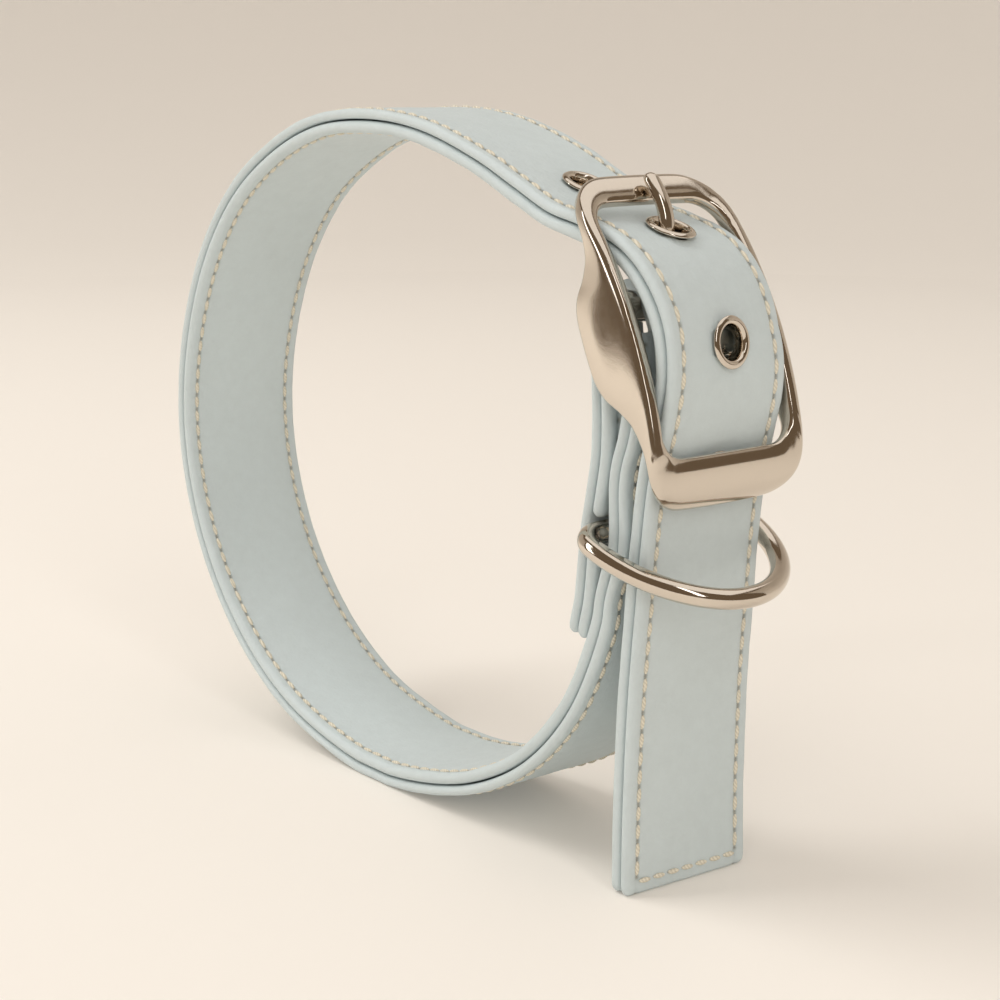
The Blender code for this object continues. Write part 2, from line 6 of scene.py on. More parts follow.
import bpy
import numpy as np
from bpy.props import FloatProperty, FloatVectorProperty, PointerProperty
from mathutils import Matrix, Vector


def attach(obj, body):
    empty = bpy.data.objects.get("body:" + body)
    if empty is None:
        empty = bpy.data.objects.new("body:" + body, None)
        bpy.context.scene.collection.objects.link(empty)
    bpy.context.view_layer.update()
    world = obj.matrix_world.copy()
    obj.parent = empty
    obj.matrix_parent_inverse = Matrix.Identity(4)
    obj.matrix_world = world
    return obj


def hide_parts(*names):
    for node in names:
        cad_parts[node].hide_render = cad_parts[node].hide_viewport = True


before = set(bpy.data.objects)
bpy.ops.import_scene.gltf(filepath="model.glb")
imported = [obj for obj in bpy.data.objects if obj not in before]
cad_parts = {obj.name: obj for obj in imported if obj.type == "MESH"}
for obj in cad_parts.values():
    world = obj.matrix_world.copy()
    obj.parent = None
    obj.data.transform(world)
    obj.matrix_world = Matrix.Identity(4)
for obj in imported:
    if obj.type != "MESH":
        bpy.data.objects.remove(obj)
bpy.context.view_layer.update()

bl_info = {
    "name": "Dog collar",
    "version": (1, 0, 0),
    "blender": (4, 5, 0),
    "location": "3D View > Sidebar > Collar",
    "description": "Builds the leather, thread, fittings and studio of a dog collar",
    "category": "Add Mesh",
}

MM = 0.001
CAMERA_TURN = math.radians(51.242)

# Sizes shared with the solids, in millimetres.
STRAP_WIDTH = 25.0
LEATHER = 1.7
LINING = 2.0
AIR = 0.3
PAIR = 4.4
CORNER_ROUND = 1.6
LOOP_REACH = 60.0
SEAM_REST = LEATHER + 0.5 * AIR
LOOP_LOW_SHARE = 0.947
LOOP_SETTLE = 0.17
LOOP_CENTRE_UP = LOOP_LOW_SHARE * LOOP_REACH + SEAM_REST - LOOP_SETTLE
BAR_RADIUS = 2.3
BAR_OUT = 1.03 * LOOP_REACH
BAR_UP = 1.505 * LOOP_REACH
TONGUE_WIDTH = 0.6 * STRAP_WIDTH
SLOT_WIDTH = 5.2
SHOULDER_UP = 1.445 * LOOP_REACH
LINING_TOP_UP = 1.408 * LOOP_REACH
RING_WIRE = 1.72
RING_UP = 0.943 * LOOP_REACH
EYELET_PITCH = 20.2
EYELET_REACH = 4.15
EYELET_TUBE = 2.75
PRONG_EYELET_UP = 1.672 * LOOP_REACH
CENTRE_SHIFT = Vector((-8.8637, 0.0, 0.0277))

# Steps that round an edge a quarter turn, in degrees.
QUARTER_TURN = (0, 18, 36, 54, 72, 90)
COLUMN_STEP = 0.8
STITCHES_ACROSS = 7
THREAD_LIFT = 0.12

# Seam line between the two layers. "out" counts layer pairs outward from the centre bar, "up" is a share of
# the loop's reach, and "lean" is how far the far edge turns inward, in radians.
Knot = namedtuple("Knot", "out up lean")
FREE_STRAP = (
    Knot(1.023, 0.000, -0.045),
    Knot(1.068, 0.260, -0.020),
    Knot(1.250, 0.533, 0.000),
    Knot(1.568, 0.783, 0.020),
    Knot(1.773, 0.930, 0.030),
    Knot(2.068, 1.090, 0.035),
    Knot(2.364, 1.177, 0.035),
    Knot(2.715, 1.275, 0.040),
    Knot(2.909, 1.363, 0.065),
    Knot(2.795, 1.455, 0.100),
    Knot(2.409, 1.525, 0.090),
    Knot(1.705, 1.592, 0.070),
    Knot(0.727, 1.648, 0.055),
    Knot(-0.409, 1.682, 0.050),
    Knot(-1.659, 1.705, 0.045),
)
RISE_TO_BAR = (
    Knot(0.000, 0.770, 0.0),
    Knot(0.295, 0.837, 0.0),
    Knot(0.636, 0.900, 0.0),
    Knot(0.693, 0.955, 0.0),
    Knot(0.670, 1.017, 0.0),
    Knot(0.659, 1.067, 0.0),
    Knot(0.773, 1.123, 0.0),
    Knot(1.080, 1.188, 0.015),
    Knot(1.290, 1.255, 0.030),
    Knot(1.310, 1.330, 0.020),
    Knot(1.091, 1.413, 0.0),
)
FOLD_BACK = (
    Knot(-0.432, 1.408, 0.0),
    Knot(-0.295, 1.283, 0.0),
    Knot(-0.273, 1.183, 0.0),
    Knot(-0.318, 1.130, 0.0),
    Knot(-0.432, 1.083, 0.0),
    Knot(-0.568, 1.033, 0.0),
    Knot(-0.773, 0.962, 0.0),
    Knot(-0.932, 0.875, 0.0),
    Knot(-1.023, 0.808, 0.0),
    Knot(-1.136, 0.750, 0.0),
    Knot(-1.310, 0.700, 0.0),
    Knot(-1.450, 0.653, 0.0),
)

# The loop from the buckle round and back: direction in degrees and reach as a share of the loop's reach.
Reach = namedtuple("Reach", "direction share lean")
LOOP_SHAPE = (
    Reach(43.3, 1.098, 0.042),
    Reach(50.4, 1.047, 0.038),
    Reach(60, 1.008, 0.027),
    Reach(75, 0.977, 0.012),
    Reach(90, 0.966, 0.0),
    Reach(105, 0.977, 0.0),
    Reach(120, 0.990, 0.0),
    Reach(135, 1.013, 0.0),
    Reach(150, 1.028, 0.0),
    Reach(165, 1.040, 0.0),
    Reach(180, 1.052, 0.0),
    Reach(195, 1.045, 0.0),
    Reach(210, 1.025, 0.0),
    Reach(225, 1.000, 0.0),
    Reach(240, 0.975, 0.0),
    Reach(255, 0.950, 0.0),
    Reach(270, LOOP_LOW_SHARE, 0.0),
    Reach(285, 0.952, 0.0),
    Reach(300, 0.980, 0.0),
    Reach(315, 1.015, 0.0),
    Reach(330, 1.041, 0.0),
    Reach(345, 1.054, 0.0),
)


class Seam:
    """Seam line of the strap, read at distances along it."""

    PIECES = 10

    def __init__(self):
        knots = [(self.beside_bar(k), k.lean) for k in FREE_STRAP]
        for row in LOOP_SHAPE:
            angle = math.radians(row.direction)
            reach = row.share * LOOP_REACH
            spot = (reach * math.cos(angle), LOOP_CENTRE_UP + reach * math.sin(angle))
            knots.append((np.array(spot), row.lean))
        loop_end = len(knots)
        knots += [(self.beside_bar(k), k.lean) for k in RISE_TO_BAR]
        crest = len(knots) + 2
        turn = BAR_RADIUS + 0.5 * AIR
        for degrees in (5, 50, 95, 140, 180):
            angle = math.radians(degrees)
            spot = (BAR_OUT + turn * math.cos(angle), BAR_UP + turn * math.sin(angle))
            knots.append((np.array(spot), 0.0))
        knots += [(self.beside_bar(k), k.lean) for k in FOLD_BACK]
        spots = self.through([spot for spot, _ in knots])
        spots[:, 1] = np.maximum(spots[:, 1], 0.0)
        first = len(FREE_STRAP) * self.PIECES
        last = loop_end * self.PIECES
        spots[first:last, 1] = np.maximum(spots[first:last, 1], SEAM_REST)
        self.spots = spots
        steps = np.hypot(*np.diff(spots, axis=0).T)
        self.reach = np.concatenate([[0.0], np.cumsum(steps)])
        self.length = self.reach[-1]
        self.loop_start = self.reach[first]
        self.loop_end = self.reach[last]
        self.crest = self.reach[crest * self.PIECES]
        places = np.arange(len(spots)) / self.PIECES
        self.leans = np.interp(places, range(len(knots)), [lean for _, lean in knots])

    @staticmethod
    def beside_bar(knot):
        return np.array((BAR_OUT + knot.out * PAIR, knot.up * LOOP_REACH))

    def through(self, points):
        """Smooth curve through the points, with rounder bends where they lie close together."""
        posts = [2 * points[0] - points[1], *points, 2 * points[-1] - points[-2]]
        line = []
        for i in range(1, len(posts) - 2):
            a, b, c, d = posts[i - 1 : i + 3]
            ab, bc, cd = (math.sqrt(np.hypot(*(q - p))) for p, q in ((a, b), (b, c), (c, d)))
            leave = (c - b) + bc * ((b - a) / ab - (c - a) / (ab + bc))
            arrive = (c - b) + bc * ((d - c) / cd - (d - b) / (bc + cd))
            for k in range(self.PIECES):
                t = k / self.PIECES
                line.append(
                    b * (2 * t**3 - 3 * t**2 + 1)
                    + leave * (t**3 - 2 * t**2 + t)
                    + c * (3 * t**2 - 2 * t**3)
                    + arrive * (t**3 - t**2)
                )
        line.append(points[-1])
        return np.array(line)

    def spot(self, distance):
        out = np.interp(distance, self.reach, self.spots[:, 0])
        up = np.interp(distance, self.reach, self.spots[:, 1])
        return np.stack([out, up], axis=-1)

    def distance_at_height(self, height, low, high):
        """First distance between two marks at which the seam crosses a height."""
        marks = np.arange(low, high, 0.05)
        above = self.spot(marks)[:, 1] > height
        return float(marks[np.argmax(above != above[0])])

    def bend(self, flat):
        """Carry points given as (distance, across, outward) onto the bent strap, in metres."""
        distance, across, outward = flat.T
        step = 0.8
        ahead = self.spot(np.minimum(distance + step, self.length))
        behind = self.spot(np.maximum(distance - step, 0.0))
        along = (ahead - behind) / np.linalg.norm(ahead - behind, axis=1)[:, None]
        lean = np.interp(distance, self.reach, self.leans)
        cosine, sine = np.cos(lean), np.sin(lean)
        spot = self.spot(distance)
        inward = 0.5 * STRAP_WIDTH * sine + across * sine - outward * cosine
        bent = np.empty((len(flat), 3))
        bent[:, 0] = spot[:, 0] - along[:, 1] * inward + CENTRE_SHIFT.x
        bent[:, 1] = across * cosine + outward * sine
        bent[:, 2] = spot[:, 1] + along[:, 0] * inward + CENTRE_SHIFT.z
        return bent * MM


SEAM = Seam()
HELD = SEAM.distance_at_height(PRONG_EYELET_UP, 0.1 * SEAM.crest, SEAM.loop_start)
EYELET_MARKS = [HELD + EYELET_PITCH * (1 - k) for k in range(4)]
SHOULDER_RISE = SEAM.distance_at_height(SHOULDER_UP, SEAM.loop_end, SEAM.crest)
SHOULDER_BACK = SEAM.distance_at_height(SHOULDER_UP, SEAM.crest, SEAM.length)
RISE_TOP = SEAM.distance_at_height(LINING_TOP_UP, SEAM.loop_end, SEAM.crest)
BACK_TOP = SEAM.distance_at_height(LINING_TOP_UP, SEAM.crest, SEAM.length)
RING_ROOM = RING_WIRE + 2 * AIR
ABOVE_RING = SEAM.distance_at_height(RING_UP + RING_ROOM, SEAM.crest, SEAM.length)
BELOW_RING = SEAM.distance_at_height(RING_UP - RING_ROOM, SEAM.crest, SEAM.length)


class CollarSizes(bpy.types.PropertyGroup):
    """Sizes of the sewing and of the leather's relief, in millimetres."""

    stitch_pitch: FloatProperty(name="Stitch pitch", description="Distance between stitches", default=2.984)
    stitch_inset: FloatProperty(
        name="Stitch inset", description="Distance of the sewing from the strap's middle", default=10.22
    )
    end_inset: FloatProperty(
        name="End inset", description="Distance of the cross sewing from the strap's end", default=2.3
    )
    stitch_length: FloatProperty(name="Stitch length", description="Visible length of a stitch", default=2.35)
    thread_width: FloatProperty(name="Thread width", description="Width of the thread", default=0.82)
    groove_depth: FloatProperty(
        name="Groove depth", description="How far the sewing pulls the leather down", default=0.2
    )


def colour_property(name, description, default):
    return FloatVectorProperty(
        name=name, description=description, subtype="COLOR", size=3, min=0.0, max=1.0, default=default
    )


class CollarColours(bpy.types.PropertyGroup):
    """Colours of the collar's materials and of the studio."""

    leather: colour_property("Leather", "Ice-blue leather", (0.60, 0.68, 0.70))
    # Darker leather tone: spread at random in cloudy patches, and also used as painted shade in the sewing
    # grooves and puckers.
    shade: colour_property("Leather shade", "Leather in its pores and folds", (0.49, 0.55, 0.56))
    # Painted shade: a dark colour painted into the needle holes between stitches.
    needle_hole_shade: colour_property("Needle hole", "Leather round a stitch hole", (0.26, 0.25, 0.20))
    thread: colour_property("Thread", "Cream thread", (0.80, 0.75, 0.62))
    nickel: colour_property("Nickel", "Polished nickel plate", (0.71, 0.64, 0.555))
    floor: colour_property("Floor", "Cream studio floor", (0.80, 0.765, 0.715))


def sizes():
    return bpy.context.scene.collar_sizes


def colours():
    return bpy.context.scene.collar_colours


class Value:
    """A number socket that can be used in expressions."""

    def __init__(self, look, socket):
        self.look = look
        self.socket = socket

    def maths(self, operation, *others):
        inputs = {0: self.socket}
        for place, other in enumerate(others, 1):
            inputs[place] = other
        return self.look.node("ShaderNodeMath", {"operation": operation}, inputs).value()

    def __add__(self, other):
        return self.maths("ADD", other)

    def __radd__(self, other):
        return self.maths("ADD", other)

    def __sub__(self, other):
        return self.maths("SUBTRACT", other)

    def __rsub__(self, other):
        return self.look.node("ShaderNodeMath", {"operation": "SUBTRACT"}, {0: other, 1: self}).value()

    def __mul__(self, other):
        return self.maths("MULTIPLY", other)

    def __rmul__(self, other):
        return self.maths("MULTIPLY", other)

    def __truediv__(self, other):
        return self.maths("DIVIDE", other)

    def magnitude(self):
        return self.maths("ABSOLUTE")

    def fraction(self):
        return self.maths("FRACT")

    def at_most(self, other):
        return self.maths("MINIMUM", other)

    def bump_about_zero(self, width):
        """1 where the value is zero, falling smoothly to 0 at the width."""
        share = (self.magnitude() * (1.0 / width)).at_most(1.0)
        return 1.0 - share * share * (3.0 - 2.0 * share)


class Made:
    """A node that was just made."""

    def __init__(self, look, node):
        self.look = look
        self.node = node

    def value(self, name=0):
        return Value(self.look, self.node.outputs[name])


class Look:
    """A material under construction."""

    def __init__(self, name):
        self.material = bpy.data.materials.new(name)
        self.material.use_nodes = True
        self.tree = self.material.node_tree
        self.shader = self.tree.nodes["Principled BSDF"]

    def node(self, kind, settings, inputs):
        made = self.tree.nodes.new(kind)
        for name, setting in settings.items():
            setattr(made, name, setting)
        for name, given in inputs.items():
            self.feed(made.inputs[name], given)
        return Made(self, made)

    def feed(self, socket, given):
        if isinstance(given, Value):
            given = given.socket
        if isinstance(given, bpy.types.NodeSocket):
            self.tree.links.new(given, socket)
        else:
            socket.default_value = given

    def surface(self, inputs):
        for name, given in inputs.items():
            self.feed(self.shader.inputs[name], given)

    def place(self):
        return self.node("ShaderNodeTexCoord", {}, {}).node.outputs["Object"]

    def noise(self, scale, detail=4.0, roughness=0.5):
        """Noise with about so many grains a metre."""
        inputs = {"Vector": self.place(), "Scale": scale, "Detail": detail, "Roughness": roughness}
        return self.node("ShaderNodeTexNoise", {}, inputs).value("Fac")

    def mix(self, share, first, second):
        inputs = {"Factor": share}
        made = self.node("ShaderNodeMix", {"data_type": "RGBA"}, inputs)
        sockets = [s for s in made.node.inputs if s.type == "RGBA"]
        for socket, given in zip(sockets, (first, second)):
            self.feed(socket, given)
        return next(s for s in made.node.outputs if s.type == "RGBA")

    def bump(self, height, distance, strength=1.0):
        inputs = {"Height": height, "Distance": distance, "Strength": strength}
        made = self.node("ShaderNodeBump", {}, inputs)
        self.feed(self.shader.inputs["Normal"], made.node.outputs["Normal"])


def rgba(colour):
    return (*colour, 1.0)


def leather_look(name):
    """Smooth leather with fine grain, faint creases and puckers round the sewing, and painted shade in the
    sewing grooves, puckers and needle holes.
    """
    look = Look(name)
    hue = colours()
    size = sizes()
    cells = look.node(
        "ShaderNodeTexVoronoi",
        {"feature": "SMOOTH_F1"},
        {"Vector": look.place(), "Scale": 1500.0, "Smoothness": 0.6, "Randomness": 1.0},
    ).value("Distance")
    pores = look.noise(2600.0, 3.0, 0.6)
    creases = look.noise(420.0, 5.0, 0.62)
    swell = look.noise(55.0, 3.0, 0.5)
    relief = cells * 0.45 + pores * 0.35 + creases * 0.9 + swell * 1.6
    cloudy = look.mix((creases - 0.3) * 0.5 + swell * 0.25, rgba(hue.leather), rgba(hue.shade))
    spread = look.node("ShaderNodeUVMap", {"uv_map": "strap"}, {}).node.outputs["UV"]
    parts = look.node("ShaderNodeSeparateXYZ", {}, {"Vector": spread})
    along = parts.value("X") * (1.0 / MM)
    across = parts.value("Y") * (1.0 / MM)
    beside = across.magnitude() - size.stitch_inset
    phase = (along / size.stitch_pitch).fraction() - 0.5
    ends = (0.5 - phase.magnitude()) * size.stitch_pitch
    hole = ends.bump_about_zero(0.62) * beside.bump_about_zero(0.55)
    pull = ends.bump_about_zero(1.5) * beside.bump_about_zero(1.9)
    groove = beside.bump_about_zero(0.8)
    relief = relief - pull * 1.4 - groove * 0.5 - hole * 2.2
    # Painted shade: the colour darkens towards the shade colour in the sewing grooves and in the puckers
    # round each stitch.
    soft_shade = look.mix(groove * 0.35 + pull * 0.25, cloudy, rgba(hue.shade))
    # Painted shade: the needle holes are painted dark.
    colour = look.mix(hole * 0.8, soft_shade, rgba(hue.needle_hole_shade))
    look.surface({"Base Color": colour, "Roughness": 0.4 + creases * 0.2, "Specular IOR Level": 0.42})
    look.bump(relief, 0.00011, 0.75)
    return look.material


def thread_look():
    """Twisted cream thread."""
    look = Look("cream_thread")
    hue = colours()
    twist = look.node(
        "ShaderNodeTexWave",
        {"wave_type": "BANDS", "bands_direction": "DIAGONAL"},
        {"Vector": look.place(), "Scale": 900.0, "Distortion": 1.5, "Detail": 2.0},
    ).value("Fac")
    dark = tuple(0.62 * c for c in hue.thread)
    look.surface({"Base Color": look.mix(twist * 0.6, rgba(hue.thread), rgba(dark)), "Roughness": 0.75})
    look.bump(twist, 0.00008, 0.6)
    return look.material


def nickel_look(name, wear):
    """Polished plate with faint casting ripple, fine pitting and duller patches."""
    look = Look(name)
    ripple = look.noise(160.0, 3.0, 0.5)
    haze = look.noise(900.0, 5.0, 0.7)
    pits = look.noise(5200.0, 2.0, 0.6)
    dull = tuple(0.9 * c for c in colours().nickel)
    colour = look.mix(haze * 0.4, rgba(colours().nickel), rgba(dull))
    look.surface({"Base Color": colour, "Metallic": 1.0, "Roughness": 0.045 + haze * wear})
    look.bump(ripple * 1.2 + pits * 0.25, 0.00003, 0.35)
    return look.material


def take(made, name, materials):
    made.name = name
    made.data.name = name
    made.data.materials.clear()
    for material in materials:
        made.data.materials.append(material)


def select_only(*objects):
    for other in bpy.context.selected_objects:
        other.select_set(False)
    for made in objects:
        made.select_set(True)
    bpy.context.view_layer.objects.active = objects[0]


def points_of(made):
    flat = np.empty(len(made.data.vertices) * 3)
    made.data.vertices.foreach_get("co", flat)
    return flat.reshape(-1, 3)


def move_points(made, points):
    made.data.vertices.foreach_set("co", np.ascontiguousarray(points, dtype=np.float64).ravel())
    made.data.update()


def apply_modifier(made, kind, **settings):
    step = made.modifiers.new(kind.title(), kind)
    for name, setting in settings.items():
        setattr(step, name, setting)
    select_only(made)
    bpy.ops.object.modifier_apply(modifier=step.name)


def row_places(half):
    """Distances across half a layer, closer together at the sewing and round the turned edge."""
    width = 0.5 * STRAP_WIDTH
    flat = width - half
    rows = [0.0, 2.0, 4.0, 6.0, 7.6, 8.7, 9.3, 9.75, 10.0, 10.22, 10.45, 10.7]
    rows = [row for row in rows if row < flat - 0.2]
    return rows + [flat + half * math.sin(math.radians(a)) for a in QUARTER_TURN]


def mark_places(start, end, half):
    """Distances along a layer, closer together at its two rounded ends."""
    turn = [half * (1 - math.cos(math.radians(a))) for a in QUARTER_TURN]
    low, high = start + turn[-1], end - turn[-1]
    count = max(int((high - low) / COLUMN_STEP), 2)
    middle = [low + (high - low) * k / count for k in range(1, count)]
    return [start + t for t in turn] + middle + [end - t for t in reversed(turn)]


def end_share(distance, start, end, reach):
    """1 away from both ends, falling on a quarter circle to 0 at them."""
    near = np.clip(np.minimum(distance - start, end - distance) / reach, 0.0, 1.0)
    return np.sqrt(1 - (1 - near) ** 2)


def flat_layer(name, start, end, middle, thick):
    """A straight layer with turned edges, its sewing grooves pressed in, laid out as distance and width."""
    half = 0.5 * thick
    rows = row_places(half)
    places = [-row for row in reversed(rows[1:])] + rows
    marks = mark_places(start, end, half)
    bpy.ops.mesh.primitive_grid_add(x_subdivisions=len(marks) - 1, y_subdivisions=len(places) - 1, size=2.0)
    made = bpy.context.active_object
    grid = points_of(made)
    column = np.rint((grid[:, 0] + 1) * 0.5 * (len(marks) - 1)).astype(int)
    row = np.rint((grid[:, 1] + 1) * 0.5 * (len(places) - 1)).astype(int)
    distance = np.array(marks)[column]
    across = np.array(places)[row]
    plan = 1 - end_share(distance, start, end, CORNER_ROUND)
    across = across * (1 - 0.8 * CORNER_ROUND * plan / (0.5 * STRAP_WIDTH))
    edge = 0.5 * STRAP_WIDTH - 0.8 * CORNER_ROUND * plan
    move_points(made, np.stack([distance, across, np.full(len(grid), 0.5)], axis=1))
    select_only(made)
    bpy.ops.object.mode_set(mode="EDIT")
    bpy.ops.mesh.select_all(action="SELECT")
    bpy.ops.mesh.duplicate()
    bpy.ops.transform.translate(value=(0.0, 0.0, -1.0))
    bpy.ops.mesh.flip_normals()
    bpy.ops.object.mode_set(mode="OBJECT")
    points = points_of(made)
    edge = np.concatenate([edge, edge])
    distance, across, side = points[:, 0], points[:, 1], points[:, 2]
    beyond = np.clip((np.abs(across) - (edge - half)) / half, 0.0, 1.0)
    rounding = np.sqrt(1 - beyond**2) * end_share(distance, start, end, half)
    height = half * rounding
    size = sizes()
    beside = np.abs(np.abs(across) - size.stitch_inset)
    groove = np.exp(-((beside / 0.42) ** 2))
    shown = side > 0 if middle > 0 else side < 0
    wave = 0.05 * np.sin(distance * 0.31 + 1.3 * np.sign(across)) + 0.03 * np.sin(distance * 0.83 + across)
    height = height - shown * groove * size.groove_depth * np.minimum(rounding * 1.4, 1.0)
    height = height + shown * rounding * wave * (1 - groove)
    for mark in EYELET_MARKS:
        ring = np.hypot(distance - mark, across) - EYELET_REACH
        height = height - shown * 0.22 * np.exp(-((ring / 0.8) ** 2))
    points[:, 2] = middle + 2 * side * height
    move_points(made, points)
    select_only(made)
    bpy.ops.object.mode_set(mode="EDIT")
    bpy.ops.mesh.select_all(action="SELECT")
    bpy.ops.mesh.remove_doubles(threshold=0.002)
    bpy.ops.mesh.select_all(action="SELECT")
    bpy.ops.mesh.normals_make_consistent(inside=False)
    bpy.ops.object.mode_set(mode="OBJECT")
    take(made, name, [])
    return made


def cut(made, cutter):
    step = made.modifiers.new("Cut", "BOOLEAN")
    step.operation = "DIFFERENCE"
    step.solver = "EXACT"
    step.object = cutter
    select_only(made)
    bpy.ops.object.modifier_apply(modifier=step.name)
    bpy.data.objects.remove(cutter)


def punch_holes(made, start, end):
    """Round holes for the eyelets, cut while the layer is straight."""
    punches = []
    for mark in EYELET_MARKS:
        if start < mark < end:
            bpy.ops.mesh.primitive_cylinder_add(
                vertices=48, radius=EYELET_TUBE + AIR, depth=6 * PAIR, location=(mark, 0.0, 0.0)
            )
            punches.append(bpy.context.active_object)
    if not punches:
        return
    select_only(*punches)
    bpy.ops.object.join()
    select_only(punches[0])
    bpy.ops.object.transform_apply(location=True, rotation=True, scale=True)
    cut(made, punches[0])


def cut_tongue(made):
    """Narrow the layer to a tongue where it wraps the bar, and slot it for the prong."""
    wide = 0.5 * (STRAP_WIDTH - TONGUE_WIDTH) + 2.0
    slot_reach = BAR_RADIUS + LEATHER + 3 * AIR
    low = SEAM.distance_at_height(LINING_TOP_UP + 2 * AIR, SEAM.loop_end, SEAM.crest)
    high = SEAM.distance_at_height(LINING_TOP_UP + 2 * AIR, SEAM.crest, SEAM.length)
    middle = 0.5 * (SHOULDER_RISE + SHOULDER_BACK)
    length = SHOULDER_BACK - SHOULDER_RISE
    beside = 0.5 * (TONGUE_WIDTH + wide)
    boxes = [(middle, side * beside, length, wide) for side in (-1, 1)]
    boxes.append((0.5 * (low + high), 0.0, high - low, SLOT_WIDTH))
    blocks = []
    for distance, across, length, width in boxes:
        bpy.ops.mesh.primitive_cube_add(size=1.0, location=(distance, across, 0.0))
        block = bpy.context.active_object
        block.scale = (length, width, 2 * slot_reach)
        select_only(block)
        bpy.ops.object.transform_apply(location=True, rotation=True, scale=True)
        apply_modifier(block, "BEVEL", width=0.8, segments=4)
        blocks.append(block)
    select_only(*blocks)
    bpy.ops.object.join()
    cut(made, blocks[0])


def lay_along_seam(made):
    """Note each corner's place on the straight strap, then bend the piece onto the seam line."""
    straight = points_of(made)
    spread = made.data.uv_layers.get("strap") or made.data.uv_layers.new(name="strap")
    corners = np.empty(len(made.data.loops), dtype=np.int32)
    made.data.loops.foreach_get("vertex_index", corners)
    spread.data.foreach_set("uv", (straight[corners, :2] * MM).astype(np.float32).ravel())
    move_points(made, SEAM.bend(straight))
    select_only(made)
    bpy.ops.object.shade_smooth()
    return made


def layer_piece(name, node, start, end, outer, material, tongue=False):
    thick = LEATHER if outer else LINING
    middle = 0.5 * (thick + AIR) * (1 if outer else -1)
    made = flat_layer(name, start, end, middle, thick)
    punch_holes(made, start, end)
    if tongue:
        cut_tongue(made)
    lay_along_seam(made)
    take(made, name, [material])
    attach(made, "collar")
    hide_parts(node)
    return made


def thread_line(places, height, cross=False):
    """Stitches laid on the straight strap at (distance, across) places."""
    size = sizes()
    bpy.ops.mesh.primitive_uv_sphere_add(segments=10, ring_count=8, radius=1.0)
    stitch = bpy.context.active_object
    body = points_of(stitch)
    lengthways = np.array([body[:, 2], body[:, 0], body[:, 1]]).T
    lengthways[:, 0] *= 0.5 * size.stitch_length
    lengthways[:, 1] *= 0.5 * size.thread_width
    lengthways[:, 2] *= 0.42 * size.thread_width
    lengthways[:, 1] += 0.05 * lengthways[:, 0]
    if cross:
        lengthways = lengthways[:, [1, 0, 2]] * (1, -1, 1)
    copies = []
    for distance, across in places:
        made = stitch.copy()
        made.data = stitch.data.copy()
        bpy.context.scene.collection.objects.link(made)
        move_points(made, lengthways + (distance, across, height))
        copies.append(made)
    bpy.data.objects.remove(stitch)
    select_only(*copies)
    bpy.ops.object.join()
    return copies[0]


def sewing(name, spans, ends, outer, material):
    """All stitches on one face: two long rows over each span and a short row across each end."""
    size = sizes()
    thick = LEATHER if outer else LINING
    surface = (thick + 0.5 * AIR - size.groove_depth + THREAD_LIFT) * (1 if outer else -1)
    pitch = size.stitch_pitch
    rows = []
    for low, high in spans:
        first = math.ceil(low / pitch - 0.5)
        last = math.floor(high / pitch - 0.5)
        for side in (-1, 1):
            rows += [((k + 0.5) * pitch, side * size.stitch_inset) for k in range(first, last)]
    pieces = [thread_line(rows, surface)]
    step = 2 * size.stitch_inset / STITCHES_ACROSS
    for mark in ends:
        row = [(mark, (k + 0.5) * step - size.stitch_inset) for k in range(STITCHES_ACROSS)]
        pieces.append(thread_line(row, surface + math.copysign(size.groove_depth, surface), cross=True))
    select_only(*pieces)
    bpy.ops.object.join()
    made = lay_along_seam(pieces[0])
    take(made, name, [material])
    select_only(made)
    bpy.ops.object.mode_set(mode="EDIT")
    bpy.ops.mesh.select_all(action="SELECT")
    bpy.ops.mesh.normals_make_consistent(inside=False)
    bpy.ops.object.mode_set(mode="OBJECT")
    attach(made, "collar")
    return made


def polished_copy(node, name, body, material, levels):
    """A smooth copy of a metal solid, with its facets rounded away."""
    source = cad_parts[node]
    made = source.copy()
    made.data = source.data.copy()
    made.parent = None
    for key in list(made.keys()):
        del made[key]
    bpy.context.scene.collection.objects.link(made)
    select_only(made)
    bpy.ops.object.mode_set(mode="EDIT")
    bpy.ops.mesh.select_all(action="SELECT")
    bpy.ops.mesh.remove_doubles(threshold=0.000004)
    bpy.ops.mesh.tris_convert_to_quads(face_threshold=math.radians(50), shape_threshold=math.radians(60))
    bpy.ops.object.mode_set(mode="OBJECT")
    apply_modifier(made, "SUBSURF", levels=levels, render_levels=levels)
    select_only(made)
    bpy.ops.object.shade_smooth()
    take(made, name, [material])
    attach(made, body)
    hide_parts(node)
    return made


class COLLAR_OT_leather(bpy.types.Operator):
    """Build the leather layers"""

    bl_idname = "collar.leather"
    bl_label = "Leather layers"

    def execute(self, context):
        leather = leather_look("ice_blue_leather")
        layer_piece("strap_outer", "leather_outer", 0.0, SEAM.length, True, leather, tongue=True)
        layer_piece("strap_lining", "leather_lining", 0.0, RISE_TOP, False, leather)
        layer_piece("fold_upper", "fold_lining_upper", BACK_TOP, ABOVE_RING, False, leather)
        layer_piece("fold_lower", "fold_lining_lower", BELOW_RING, SEAM.length, False, leather)
        return {"FINISHED"}


class COLLAR_OT_sewing(bpy.types.Operator):
    """Sew the stitches on both faces"""

    bl_idname = "collar.sewing"
    bl_label = "Sewing"

    def execute(self, context):
        thread = thread_look()
        inset = sizes().end_inset
        outer_spans = [(inset, SHOULDER_RISE - 2.0), (SHOULDER_BACK + 2.0, SEAM.length - inset)]
        ends = [inset, SEAM.length - inset]
        sewing("outer_stitches", outer_spans, ends, True, thread)
        sewing("lining_stitches", [(inset, RISE_TOP - inset)], [inset], False, thread)
        return {"FINISHED"}


